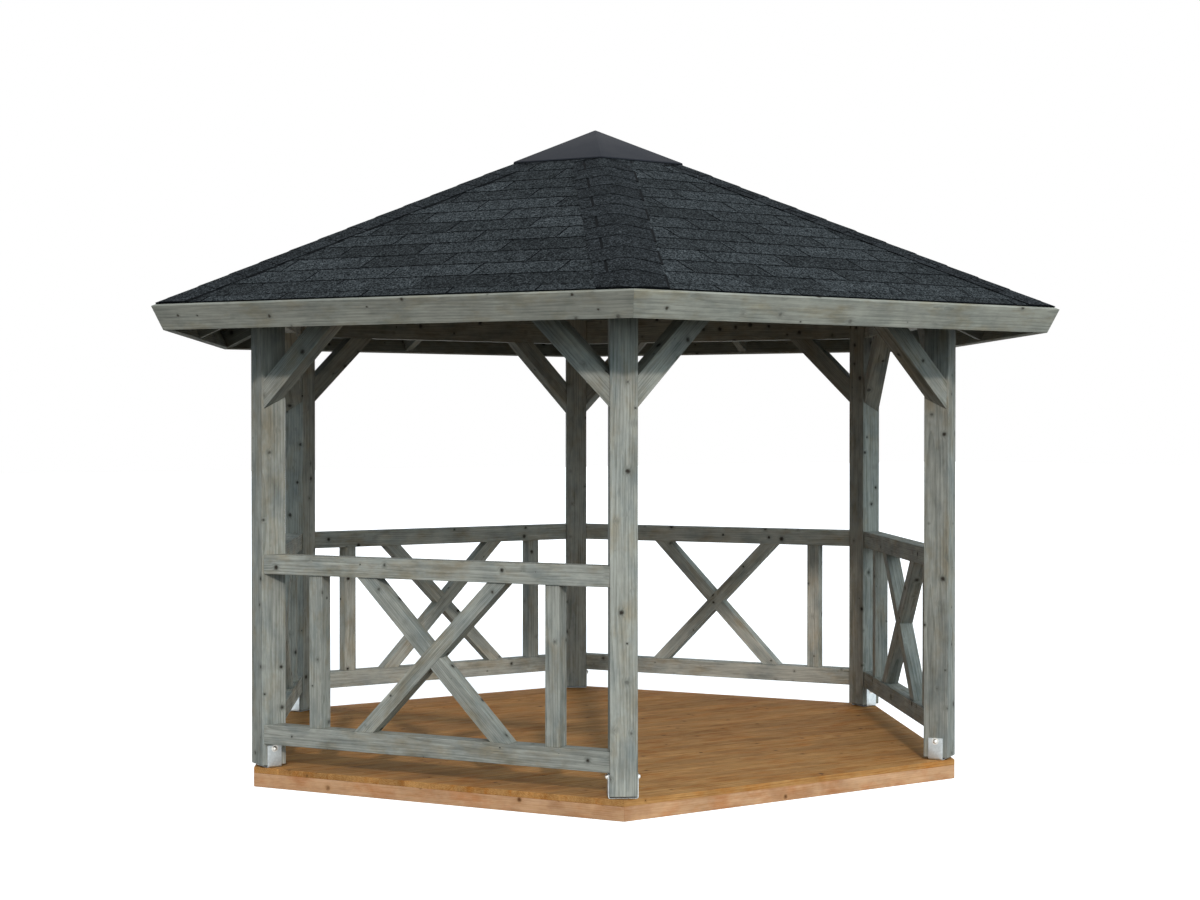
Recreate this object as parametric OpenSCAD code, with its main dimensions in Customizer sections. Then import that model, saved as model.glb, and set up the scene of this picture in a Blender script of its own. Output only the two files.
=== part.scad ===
// Hexagonal garden gazebo in timber. Six square posts stand in steel shoes on a decked floor
// and carry a shingled roof with a sheet-metal cap. Five bays have a railing with a cross,
// and the sixth is the way in.
// Millimetres, +Z up. The origin is on the ground under the middle of the floor. The corners lie
// at 0, 60, ... 300 degrees, bay i looks out at 30 + 60 * i degrees, and the open bay faces -Y.

/* [Floor] */
// Middle of the floor to its corners
floor_radius = 1915; // [1500:5:2300]
// Thickness of the deck boards
deck_thick = 27; // [20:1:45]
// Height of the edge boards and joists
joist_depth = 64; // [45:1:150]
// Thickness of the edge boards and joists
joist_thick = 45; // [30:1:60]
// Middle of one joist to the middle of the next
joist_pitch = 480; // [300:10:480]

/* [Posts and shoes] */
// Side of the square posts
post_size = 120; // [90:1:150]
// Corner of the floor in to the middle of a post
post_inset = 76; // [60:1:120]
// Thickness of the steel of the shoes
shoe_steel = 5; // [3:0.5:8]
// Width of the shoes
shoe_width = 70; // [50:1:90]
// Height of the shoes above the deck
shoe_height = 105; // [60:1:160]
// Gap between the floor of a shoe and the end of its post, which keeps the post dry
post_gap = 7; // [0:1:20]

/* [Railings] */
// Side of the square rails
rail_size = 90; // [70:1:110]
// Top of the shoes to the underside of the bottom rail
rail_clear = 8; // [2:1:60]
// Deck to the top of the top rail
rail_top = 995; // [850:5:1200]
// Side of the square uprights and of the bars of the cross
bar_size = 70; // [45:1:80]
// Middle of the bay to the middle of an upright
upright_place = 612; // [450:1:700]
// Middle of the bay to the outer corners of the cross at the top rail
cross_top_reach = 386; // [300:2:420]
// Middle of the bay to the outer corners of the cross at the bottom rail
cross_low_reach = 402; // [300:2:420]

/* [Roof frame] */
// Deck to the underside of the wall plates
head_room = 2090; // [1900:1:2600]
// Thickness of the wall plates and knee braces
plate_thick = 90; // [70:1:110]
// Height of the wall plates
plate_depth = 145; // [120:1:180]
// Width of the knee braces' outer faces
brace_width = 95; // [70:1:120]
// Height of a knee brace from its lower corner to the wall plate
brace_drop = 420; // [300:2:500]
// Slope of the roof in degrees
roof_pitch = 25; // [20:0.5:35]
// Thickness of the rafters
rafter_thick = 45; // [35:1:60]
// Depth of the rafters, square to the slope
rafter_depth = 95; // [80:1:120]
// Depth of the hip rafters, square to the slope of a bay
hip_depth = 100; // [90:1:145]
// Depth of the notch over the outer face of the wall plate
birdsmouth = 28; // [20:1:45]
// Middle of the wall plate out to the roof's edge
eave_reach = 467; // [300:1:600]
// Width of a face of the hub to each side of its rafter
hub_margin = 3; // [0:0.5:10]
// Height of the hub
hub_height = 220; // [160:5:300]

/* [Roof cover] */
// Thickness of the roof boards
board_thick = 18; // [12:1:25]
// Width of the fascia boards
fascia_width = 120; // [100:1:160]
// Thickness of the fascia boards
fascia_thick = 22; // [15:1:30]
// Thickness of the shingles
shingle_thick = 6; // [4:0.5:10]
// Middle of the cap to its corners
cap_radius = 494; // [300:2:700]
// Height of the cap's folded rim over the shingles
cap_rise = 6; // [4:0.5:12]
// Thickness of the cap's sheet metal
cap_sheet = 1.5; // [1:0.5:3]

/* [Hidden] */
BAYS = 6;
TURN = 360 / BAYS;
HALF_TURN = TURN / 2;
RAILED_BAYS = [0, 1, 2, 3, 5];
BAY_NAMES = ["back_right", "back", "back_left", "front_left", "front", "front_right"];
POST_NAMES = ["right", "back_right", "back_left", "left", "front_left", "front_right"];

// Longer than anything in the gazebo, for cutting shapes
FAR = 2 * (floor_radius + eave_reach);
deck_top = joist_depth + deck_thick;
post_ring = floor_radius - post_inset;
post_inner = post_ring - post_size / 2;
shoe_floor = deck_top + shoe_steel;
post_foot = shoe_floor + post_gap;
// Where the side faces of two neighbouring posts would meet, out from the middle of the gazebo
wedge_point = post_size / 2 / sin(HALF_TURN);
// Middle line of the rails, bars, braces and wall plates: the middle of the posts' side faces
frame_line = post_ring * cos(HALF_TURN) + post_size / 2 * sin(HALF_TURN);
plate_inner = frame_line - plate_thick / 2;
plate_outer = frame_line + plate_thick / 2;
// Half the clear width of a bay at the outer face of its wall plate and braces
bay_half = (plate_outer - wedge_point) * tan(HALF_TURN);

rail_low = deck_top + shoe_height + rail_clear;
panel_low = rail_low + rail_size;
panel_high = deck_top + rail_top - rail_size;
cross_height = panel_high - panel_low;
cross_run = cross_top_reach + cross_low_reach;
cross_slant = sqrt(pow(cross_run, 2) + pow(cross_height, 2));
cross_angle = atan(cross_height / cross_run) + asin(bar_size / cross_slant);
cross_foot = bar_size / sin(cross_angle);

plate_low = deck_top + head_room;
plate_top = plate_low + plate_depth;
brace_foot = brace_width * sqrt(2);

// The hub has one flat face for each hip rafter and each common rafter
hub_sides = 2 * BAYS;
hub_reach = (rafter_thick / 2 + hub_margin) / tan(180 / hub_sides);

// Heights of the roof's layers where their planes cross the middle line
rafter_apex = plate_top - birdsmouth + plate_outer * tan(roof_pitch) + rafter_depth / cos(roof_pitch);
board_apex = rafter_apex + board_thick / cos(roof_pitch);
shingle_apex = board_apex + shingle_thick / cos(roof_pitch);
cap_apex = shingle_apex + cap_rise / cos(roof_pitch);

// Lengths down the slope from the middle line, along the top of the roof boards
eave_slope = (frame_line + eave_reach) / cos(roof_pitch);
board_slope = eave_slope - fascia_thick;
// How far out the shingles reach: to the inner edge of the fascia's top
shingle_reach = board_slope * cos(roof_pitch);

// Turns a shape drawn along +X to the middle of bay i
module in_bay(i) {
    rotate([0, 0, HALF_TURN + TURN * i]) children();
}

// Turns a shape drawn along +X to corner i
module at_corner(i) {
    rotate([0, 0, TURN * i]) children();
}

// One sixth of the plan, with its point on the middle line
module sector() {
    linear_extrude(height = FAR)
        polygon([[0, 0], [FAR, -FAR * tan(HALF_TURN)], [FAR, FAR * tan(HALF_TURN)]]);
}

// The space between two posts, so that what is drawn too long ends on their faces
module between_posts() {
    intersection() {
        children();
        translate([wedge_point, 0, 0]) sector();
    }
}

// A flat outline of [along the bay, up] points, from one distance out to another
module cut_board(from, to, outline) {
    translate([from, 0, 0])
        rotate([90, 0, 90])
            linear_extrude(height = to - from) polygon(outline);
}

// A sloping layer under the roof plane that crosses the middle line at apex. Its ends are square to
// the slope and lie at two lengths down the slope, counted along the top of the roof boards.
module slope_layer(apex, thick, from, to) {
    shift = (apex - board_apex) * sin(roof_pitch);
    translate([0, 0, apex])
        rotate([0, roof_pitch, 0])
            translate([from + shift, -FAR, -thick]) cube([to - from, 2 * FAR, thick]);
}

// The same layer in one bay, mitred over the hips
module roof_piece(apex, thick, from, to) {
    intersection() {
        sector();
        slope_layer(apex, thick, from, to);
    }
}

// The floor's hexagon with its edge moved in
module floor_plan(margin, height) {
    cylinder(r = floor_radius - margin / cos(HALF_TURN), h = height, $fn = BAYS);
}

module floor_edge() {
    color("#6f4a3c")
        difference() {
            floor_plan(0, joist_depth);
            translate([0, 0, -1]) floor_plan(joist_thick, joist_depth + 2);
        }
}

module floor_joists() {
    side_count = floor((floor_radius - 3 * joist_thick) / joist_pitch);
    color("#6f4a3c")
        for (k = [-side_count:side_count])
            intersection() {
                floor_plan(joist_thick, joist_depth);
                translate([k * joist_pitch - joist_thick / 2, -FAR, 0])
                    cube([joist_thick, 2 * FAR, joist_depth]);
            }
}

module floor_deck() {
    color("#7a4632") translate([0, 0, joist_depth]) floor_plan(0, deck_thick);
}

// A bent steel strip: a plate under the post and a leg up each side face
module post_shoe() {
    leg_height = shoe_height - shoe_steel;
    translate([post_ring - shoe_width / 2, -post_size / 2 - shoe_steel, deck_top])
        cube([shoe_width, post_size + 2 * shoe_steel, shoe_steel]);
    for (side = [-post_size / 2 - shoe_steel, post_size / 2])
        translate([post_ring - shoe_width / 2, side, shoe_floor])
            cube([shoe_width, shoe_steel, leg_height]);
}

module post_shoes() {
    color("#a9acad") for (i = [0:BAYS - 1]) at_corner(i) post_shoe();
}

module post(i) {
    color("#5d5b54")
        at_corner(i)
            translate([post_inner, -post_size / 2, post_foot])
                cube([post_size, post_size, plate_top - post_foot]);
}

module rail(low) {
    between_posts()
        translate([frame_line - rail_size / 2, -FAR / 2, low])
            cube([rail_size, FAR, rail_size]);
}

module upright(place) {
    translate([frame_line - bar_size / 2, place - bar_size / 2, panel_low])
        cube([bar_size, bar_size, cross_height]);
}

// One bar of the cross, from the bottom rail on one side to the top rail on the other
module cross_bar(side) {
    cut_board(frame_line - bar_size / 2, frame_line + bar_size / 2, [
        [-side * cross_low_reach, panel_low],
        [-side * (cross_low_reach - cross_foot), panel_low],
        [side * cross_top_reach, panel_high],
        [side * (cross_top_reach - cross_foot), panel_high]
    ]);
}

module railing(i) {
    color("#66645c")
        in_bay(i) {
            rail(rail_low);
            rail(panel_high);
            upright(-upright_place);
            upright(upright_place);
            cross_bar(1);
            cross_bar(-1);
        }
}

// A knee brace at 45 degrees from the post's side face up to the wall plate
module knee_brace(side) {
    between_posts()
        cut_board(plate_inner, plate_outer, [
            [side * (bay_half + brace_foot), plate_low - brace_drop - brace_foot],
            [side * (bay_half - brace_drop), plate_low],
            [side * (bay_half - brace_drop + brace_foot), plate_low],
            [side * (bay_half + brace_foot), plate_low - brace_drop]
        ]);
}

module braces(i) {
    color("#5d5b54") in_bay(i) {
        knee_brace(-1);
        knee_brace(1);
    }
}

module wall_plate(i) {
    color("#5d5b54")
        in_bay(i)
            between_posts()
                translate([plate_inner, -FAR / 2, plate_low]) cube([plate_thick, FAR, plate_depth]);
}

// The block at the top that the rafters meet on
module roof_hub() {
    hub_top = rafter_apex - hub_reach * tan(roof_pitch);
    color("#5d5b54")
        rotate([0, 0, 180 / hub_sides])
            translate([0, 0, hub_top - hub_height])
                cylinder(r = hub_reach / cos(180 / hub_sides), h = hub_height, $fn = hub_sides);
}

// Half of a hip rafter: the part under one bay's roof plane
module hip_half(side) {
    intersection() {
        rotate([0, 0, side * HALF_TURN])
            slope_layer(rafter_apex, hip_depth, 0, board_slope);
        translate([hub_reach, side > 0 ? 0 : -rafter_thick / 2, 0])
            cube([FAR, rafter_thick / 2, FAR]);
    }
}

// The hip rafters are notched over the tops of the posts
module hip_rafters() {
    color("#5d5b54")
        for (i = [0:BAYS - 1])
            at_corner(i)
                difference() {
                    union() {
                        hip_half(1);
                        hip_half(-1);
                    }
                    translate([post_inner, -post_size / 2, 0])
                        cube([post_size, post_size, plate_top]);
                }
}

// The common rafters are notched over the wall plates
module common_rafters() {
    color("#5d5b54")
        for (i = [0:BAYS - 1])
            in_bay(i)
                difference() {
                    intersection() {
                        slope_layer(rafter_apex, rafter_depth, 0, board_slope);
                        translate([hub_reach, -rafter_thick / 2, 0]) cube([FAR, rafter_thick, FAR]);
                    }
                    translate([plate_inner, -rafter_thick, 0])
                        cube([plate_thick, 2 * rafter_thick, plate_top]);
                }
}

module roof_boards(i) {
    color("#6b6558") in_bay(i) roof_piece(board_apex, board_thick, -board_thick, board_slope);
}

module fascia(i) {
    color("#66645c") in_bay(i) roof_piece(board_apex, fascia_width, board_slope, eave_slope);
}

// Everything inside upright walls along the bays and under six roof planes that meet at apex
module roof_mass(apex, reach) {
    intersection_for(i = [0:BAYS - 1])
        in_bay(i)
            intersection() {
                slope_layer(apex, FAR, -FAR, FAR);
                translate([-FAR, -FAR, 0]) cube([FAR + reach, 2 * FAR, FAR]);
            }
}

module roof_shingles() {
    color("#33383d")
        difference() {
            roof_mass(shingle_apex, shingle_reach);
            roof_mass(board_apex, FAR);
        }
}

// A folded sheet that stands off the shingles on its rim
module roof_cap() {
    cap_reach = cap_radius * cos(HALF_TURN);
    color("#2d3035")
        difference() {
            roof_mass(cap_apex, cap_reach);
            roof_mass(shingle_apex, FAR);
            roof_mass(cap_apex - cap_sheet / cos(roof_pitch), cap_reach - cap_sheet);
        }
}

floor_edge();
floor_joists();
floor_deck();
post_shoes();
for (i = [0:BAYS - 1])
    post(i);
for (i = RAILED_BAYS)
    railing(i);
for (i = [0:BAYS - 1])
    braces(i);
for (i = [0:BAYS - 1])
    wall_plate(i);
roof_hub();
hip_rafters();
common_rafters();
for (i = [0:BAYS - 1])
    roof_boards(i);
for (i = [0:BAYS - 1])
    fascia(i);
roof_shingles();
roof_cap();
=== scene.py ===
"""A hexagonal garden gazebo: a frame of weathered pine on an oiled deck, roofed with bitumen
shingles and capped with coated sheet steel. Metres, +Z up, in the same frame as the CAD model."""
import math
import random

import bmesh
import bpy
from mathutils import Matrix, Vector


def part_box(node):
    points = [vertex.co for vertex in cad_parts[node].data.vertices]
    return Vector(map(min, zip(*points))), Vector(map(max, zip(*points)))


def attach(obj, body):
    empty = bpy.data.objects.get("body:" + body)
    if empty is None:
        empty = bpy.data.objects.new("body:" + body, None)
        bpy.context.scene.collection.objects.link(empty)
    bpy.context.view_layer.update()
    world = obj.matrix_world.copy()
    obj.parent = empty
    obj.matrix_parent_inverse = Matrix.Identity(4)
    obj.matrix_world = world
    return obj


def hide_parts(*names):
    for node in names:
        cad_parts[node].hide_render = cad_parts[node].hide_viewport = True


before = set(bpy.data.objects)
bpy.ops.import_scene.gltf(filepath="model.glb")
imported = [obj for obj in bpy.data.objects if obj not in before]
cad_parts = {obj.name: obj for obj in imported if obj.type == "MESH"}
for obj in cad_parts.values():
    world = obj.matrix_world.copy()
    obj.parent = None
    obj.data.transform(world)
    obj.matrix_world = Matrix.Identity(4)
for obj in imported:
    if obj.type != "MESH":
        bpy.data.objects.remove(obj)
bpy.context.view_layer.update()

MM = 0.001
UP = Vector((0, 0, 1))
rng = random.Random(5)

# ---------------------------------------------------------------- sizes

BAYS = 6
TURN = math.tau / BAYS
HALF_TURN = TURN / 2
BAY_NAMES = ("back_right", "back", "back_left", "front_left", "front", "front_right")
POST_NAMES = ("right", "back_right", "back_left", "left", "front_left", "front_right")
OPEN_BAY = BAY_NAMES.index("front")
# How pale each post, each fascia and each railing is drawn, from 0 to 1, each set to the brightness
# it shows. The back railings and the back left post are drawn paler: painted light that stands in
# for fill on their shaded inner faces
POST_TONES_AND_PAINTED_FILL = (0.6, 0.6, 0.75, 0.52, 0.58, 0.32)
FASCIA_TONES = (0.5, 0.4, 0.3, 0.4, 0.6, 0.6)
RAIL_TONES_AND_PAINTED_FILL = (0.98, 0.85, 1.0, 0.52, 0.5, 0.6)
# Most that one bar of a railing is darker or paler than its tone
RAIL_DARKER, RAIL_PALER = 0.15, 0.1
# Darkest and palest tone of other boards and of shingle tabs, and of hip pieces
BOARD_TONES = (0.3, 0.7)
HIP_TONES = (0.4, 0.6)

# Bay 1 looks out along +Y and corner 0 lies on +X, so their boxes give the sizes of the rest.
floor_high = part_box("floor_edge")[1]
FLOOR_RADIUS = floor_high.x
FLOOR_FLAT = floor_high.y
DECK_LOW = floor_high.z
DECK_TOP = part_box("floor_deck")[1].z
EDGE_THICK = 45 * MM
DECK_BOARDS = 28
DECK_PITCH = 2 * FLOOR_FLAT / DECK_BOARDS
DECK_JOINT = 1.2 * MM

post_low, post_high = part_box("post_right")
POST_SIZE = post_high.y - post_low.y
POST_RING = (post_low.x + post_high.x) / 2
POST_FOOT = post_low.z
# Where the side faces of two neighbouring posts would meet, out from the middle
WEDGE_POINT = POST_SIZE / 2 / math.sin(HALF_TURN)

shoe_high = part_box("post_shoes")[1]
SHOE_STEEL = 5 * MM
SHOE_WIDTH = 2 * (shoe_high.x - POST_RING)
# Radius inside a bend of the strap
SHOE_BEND = 3 * MM
BOLT_HEIGHT = shoe_high.z - 15 * MM
# Radii of a bolt's head and washer, the height where its dome starts, and the dome's own height
BOLT_HEAD = 11 * MM
WASHER = 1.5 * BOLT_HEAD
WASHER_THICK = 1.6 * MM
DOME_START = 3.5 * MM
DOME = 0.75 * BOLT_HEAD

rail_low, rail_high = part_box("railing_back")
RAIL_SIZE = rail_high.y - rail_low.y
FRAME_LINE = (rail_low.y + rail_high.y) / 2
PANEL_LOW = rail_low.z + RAIL_SIZE
PANEL_HIGH = rail_high.z - RAIL_SIZE
BAR_SIZE = 70 * MM
# From the middle of a bay to an upright, and to the far corner of a cross at its top and foot
UPRIGHT_PLACE = 612 * MM
CROSS_TOP_REACH = 386 * MM
CROSS_LOW_REACH = 402 * MM

ROOF_PITCH = math.radians(25)
SLOPE_IN = math.cos(ROOF_PITCH)
SLOPE_DOWN = math.sin(ROOF_PITCH)
BOARD_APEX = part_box("roof_boards_back")[1].z
BOARD_THICK = 18 * MM
BOARD_PITCH = 96 * MM
BOARD_JOINT = 1 * MM
# Half the width of a bay's roof for each metre down its slope
HIP_SPREAD = SLOPE_IN * math.tan(HALF_TURN)
# Length of a hip for each metre down a bay's slope
HIP_STRETCH = math.hypot(1, HIP_SPREAD)
EAVE_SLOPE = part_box("roof_shingles")[1].y / SLOPE_IN

# Height of a course that shows, of the starter at the eave, and of a whole shingle in courses
COURSE = 145.6 * MM
FIRST_COURSE = 0.45 * COURSE
COURSE_LAP = 1.25
# Under the cap the roof is bare this far down its slope
BARE_SLOPE = 300 * MM
TAB = 422.5 * MM
TAB_JOINT = 8 * MM
TAB_JOG = 2 * MM
# Corner of the roof to the first joint beside it, along the eave
TAB_START = 450 * MM
# Height of a shingle's face over the boards at its lower edge and one course up, the thickness of
# that edge, and of the underlay felt, whose black in the joints is painted shade
SHINGLE_TOP = 6 * MM
SHINGLE_TAIL = 3 * MM
SHINGLE_BUTT = 2.6 * MM
UNDERLAY = 1.2 * MM
# The same for a hip piece: its underside and face at the lower edge, how much lower it lies one
# course up, and its whole length in courses
HIP_BOTTOM = 8 * MM
HIP_TOP = 10.5 * MM
HIP_FALL = 2.5 * MM
HIP_LAP = 1.2
# The cap presses the hip pieces down to this height and thickness, and they rise over this length
HIP_PRESSED = 4 * MM
HIP_PRESSED_THICK = 1 * MM
HIP_PRESS_LENGTH = 150 * MM
# How far a hip piece may sink into the soft shingles below it
HIP_BITE = 1 * MM
# Half the width of a hip piece, and its slot
HIP_REACH = 148 * MM
HIP_SLOT_PLACE = 89 * MM
HIP_SLOT = 12 * MM
HIP_SLOT_DEPTH = 2 * MM
# A piece is rounded over the ridge this far to each side, in narrow flats between these lines
HIP_ROUND = 45 * MM
HIP_FOLDS = (-HIP_ROUND, -28 * MM, -12 * MM, 0, 12 * MM, 28 * MM, HIP_ROUND)
# Turn of the roof over a hip, in metres of rise for each metre to one side
HIP_BEND = 2 * math.tan(math.acos(SLOPE_IN ** 2 + SLOPE_DOWN ** 2 * math.cos(TURN)) / 2)

cap_low, cap_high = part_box("roof_cap")
CAP_RADIUS = cap_high.x
CAP_SHEET = 1.5 * MM
CAP_FOLD = 3 * MM

# How far sharp edges are taken off
POST_EASE = 3 * MM
EASE = 2.5 * MM
BOARD_EASE = 2 * MM
CROSS_EASE = 1.5 * MM
DECK_EASE = 1.2 * MM
STEEL_EASE = 0.8 * MM
# Faces that meet at less than this many degrees shade as one on steel
SMOOTH_UNDER = 40
# Closer points of a CAD mesh are one point, and faces this few degrees apart are one flat face
WELD = 0.01 * MM
FLAT_WITHIN = 0.4

# ---------------------------------------------------------------- materials


def linear(code):
    """An sRGB hex colour as the linear colour that shaders take."""
    parts = [int(code[i:i + 2], 16) / 255 for i in (1, 3, 5)]
    return [*(c / 12.92 if c <= 0.04045 else ((c + 0.055) / 1.055) ** 2.4 for c in parts), 1.0]


def node(tree, kind, inputs=None, output=0, **settings):
    """Adds one shader node with its settings, feeds it values or other nodes' outputs, and
    returns one of its outputs."""
    made = tree.nodes.new("ShaderNode" + kind)
    for name, value in settings.items():
        setattr(made, name, value)
    for key, value in (inputs or {}).items():
        if isinstance(value, bpy.types.NodeSocket):
            tree.links.new(value, made.inputs[key])
        else:
            made.inputs[key].default_value = value
    return made.outputs[output]


def finish_named(name, constants):
    """A new material, its node tree and its surface, with constants set on that surface."""
    material = bpy.data.materials.new(name)
    material.use_nodes = True
    surface = material.node_tree.nodes["Principled BSDF"]
    for socket, value in constants.items():
        surface.inputs[socket].default_value = value
    return material, material.node_tree, surface


# Inputs of a Mix node that blends colours
SHARE, FROM, TO, MIXED = 0, 6, 7, 2
# Places where a knot may sit, in a metre along the grain, across it and through it
KNOT_PLACES = (10, 18, 18)
# Largest radius of a knot, the share of it that is dark heart, and how far it dulls wood around it
KNOT_RADIUS = 17 * MM
KNOT_HEART = 0.4
KNOT_HALO = 2.2
# How far a knot's edge wanders
KNOT_RAGGED = 7 * MM
# Marks of each pattern in a metre along the grain, across it and through it
DRIFT_MARKS = (0.8, 5, 5)
FIBRE_MARKS = (6, 130, 130)
STREAK_MARKS = (1.5, 60, 60)
STAIN_MARKS = (5, 11, 11)
# How far growth rings wander, and how far they swell round a knot
RING_DRIFT = 40 * MM
RING_SWELL = 6 * MM


def knots(tree, at, knotty):
    """Branches that the board was cut through: how much of each place is knot, and how much the
    wood round it is drawn aside. Each has a dark heart with a ragged edge in dense wood."""
    metres = tuple(1 / count for count in KNOT_PLACES)
    cell = node(tree, "VectorMath", {0: at, 1: KNOT_PLACES}, operation="MULTIPLY")
    branch = node(tree, "TexVoronoi", {"Vector": cell, "Scale": 1, "Randomness": 0.9},
                  output="Position")
    away = node(tree, "VectorMath", {0: cell, 1: branch}, operation="SUBTRACT")
    away = node(tree, "VectorMath", {0: away, 1: metres}, operation="MULTIPLY")
    ragged = node(tree, "TexNoise", {"Vector": at, "Scale": 1 / (9 * MM), "Detail": 2},
                  output="Color")
    ragged = node(tree, "VectorMath", {0: ragged, 1: [KNOT_RAGGED] * 3, 2: [-KNOT_RAGGED / 2] * 3},
                  operation="MULTIPLY_ADD")
    away = node(tree, "VectorMath", {0: away, 1: ragged}, operation="ADD")
    reach = node(tree, "VectorMath", {0: away}, output="Value", operation="LENGTH")
    pick = node(tree, "SeparateXYZ", {0: branch.node.outputs["Color"]})
    size = node(tree, "MapRange", {0: pick, 1: 1 - knotty, 2: 1, 3: 0, 4: KNOT_RADIUS})
    heart = node(tree, "Math", {0: size, 1: KNOT_HEART}, operation="MULTIPLY")
    share = node(tree, "MapRange", {0: reach, 1: size, 2: heart, 3: 0, 4: 1})
    wide = node(tree, "Math", {0: size, 1: KNOT_HALO}, operation="MULTIPLY")
    halo = node(tree, "MapRange", {0: reach, 1: wide, 2: heart, 3: 0, 4: 1},
                interpolation_type="SMOOTHSTEP")
    return share, halo


def grain_lines(tree, at, halo, ring):
    """Growth rings, which wander slowly along the log and swell a little round the knots, with
    fibres and fine streaks between them, opened by planing and by frost."""
    flat = node(tree, "VectorMath", {0: at, 1: (0, 1, 1)}, operation="MULTIPLY")
    radius = node(tree, "VectorMath", {0: flat}, output="Value", operation="LENGTH")
    slow = node(tree, "VectorMath", {0: at, 1: DRIFT_MARKS}, operation="MULTIPLY")
    drift = node(tree, "TexNoise", {"Vector": slow, "Scale": 1, "Detail": 2})
    swollen = node(tree, "Math", {0: drift, 1: RING_DRIFT, 2: radius}, operation="MULTIPLY_ADD")
    swollen = node(tree, "Math", {0: halo, 1: RING_SWELL, 2: swollen}, operation="MULTIPLY_ADD")
    turns = node(tree, "Math", {0: swollen, 1: ring}, operation="DIVIDE")
    year = node(tree, "Math", {0: turns}, operation="FRACT")
    summer = node(tree, "Math", {0: year, 1: 2.5}, operation="POWER")

    fine = node(tree, "VectorMath", {0: at, 1: FIBRE_MARKS}, operation="MULTIPLY")
    fibre = node(tree, "TexNoise", {"Vector": fine, "Scale": 1, "Detail": 3, "Roughness": 0.7})
    long_streak = node(tree, "VectorMath", {0: at, 1: STREAK_MARKS}, operation="MULTIPLY")
    streak = node(tree, "TexNoise", {"Vector": long_streak, "Scale": 1, "Detail": 2})
    lines = node(tree, "Math", {0: summer, 1: 0.25, 2: fibre}, operation="MULTIPLY_ADD")
    lines = node(tree, "Math", {0: streak, 1: 0.4, 2: lines}, operation="MULTIPLY_ADD")
    return node(tree, "MapRange", {0: lines, 1: 0.5, 2: 1.1})


def stained(tree, at, wood, cool, warm):
    """Wood with stains that follow the grain for a hand's breadth or more, and how worn it is."""
    patch = node(tree, "VectorMath", {0: at, 1: STAIN_MARKS}, operation="MULTIPLY")
    stain = node(tree, "TexNoise", {"Vector": patch, "Scale": 1, "Detail": 4, "Roughness": 0.65},
                 output="Color")
    stains = node(tree, "SeparateXYZ", {0: stain}).node.outputs
    cooled = node(tree, "MapRange", {0: stains["X"], 1: 0.46, 2: 0.7})
    warmed = node(tree, "MapRange", {0: stains["Y"], 1: 0.48, 2: 0.7})
    worn = node(tree, "MapRange", {0: stains["Z"], 1: 0.3, 2: 0.7, 3: 0.86, 4: 1.14})
    for share, colour in ((cooled, cool), (warmed, warm)):
        wood = node(tree, "Mix", {SHARE: share, FROM: wood, TO: linear(colour)}, MIXED,
                    data_type="RGBA", blend_type="MULTIPLY")
    return wood, worn


def pine(name, early, late, cool, warm, knot, ring=8 * MM, knotty=0.75, uneven=0.3):
    """Planed pine, cut from a log. The grain attribute counts metres along the board and away from
    the pith, so growth rings run as lines along the faces and as arcs over the cut ends.
    early and late are the wood of spring and of summer, cool and warm the stains of weather
    or oil, knot the dead heart of a knot, knotty the share of places that hold one, and uneven
    how much paler or darker than the middle a board may be. Real rings are 2 to 4 mm apart and
    fibres finer still. Both are drawn coarser, so that they show from across a garden."""
    material, tree, surface = finish_named(name, {"Specular IOR Level": 0.12})
    at = node(tree, "Attribute", output="Vector", attribute_name="grain")
    tone = node(tree, "Attribute", output="Fac", attribute_name="tone")
    knot_share, halo = knots(tree, at, knotty)
    lines = grain_lines(tree, at, halo, ring)
    wood = node(tree, "Mix", {SHARE: lines, FROM: linear(early), TO: linear(late)}, MIXED,
                data_type="RGBA")
    wood, worn = stained(tree, at, wood, cool, warm)
    dulled = node(tree, "Math", {0: halo, 1: 0.75}, operation="MULTIPLY")
    wood = node(tree, "Mix", {SHARE: dulled, FROM: wood, TO: linear(late)}, MIXED, data_type="RGBA")
    # No two boards are alike in tone: most are drawn at random, and the set tones of the back
    # railings and the back left post hold painted fill light
    shade = node(tree, "MapRange", {0: tone, 3: 1 - uneven, 4: 1 + uneven})
    shade = node(tree, "Math", {0: shade, 1: worn}, operation="MULTIPLY")
    wood = node(tree, "VectorMath", {0: wood, "Scale": shade}, operation="SCALE")
    wood = node(tree, "Mix", {SHARE: knot_share, FROM: wood, TO: linear(knot)}, MIXED,
                data_type="RGBA")
    tree.links.new(wood, surface.inputs["Base Color"])

    roughness = node(tree, "MapRange", {0: lines, 3: 0.62, 4: 0.84})
    tree.links.new(roughness, surface.inputs["Roughness"])
    relief = node(tree, "Bump", {"Height": lines, "Strength": 0.5, "Distance": 0.8 * MM},
                  invert=True)
    tree.links.new(relief, surface.inputs["Normal"])
    return material


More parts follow.
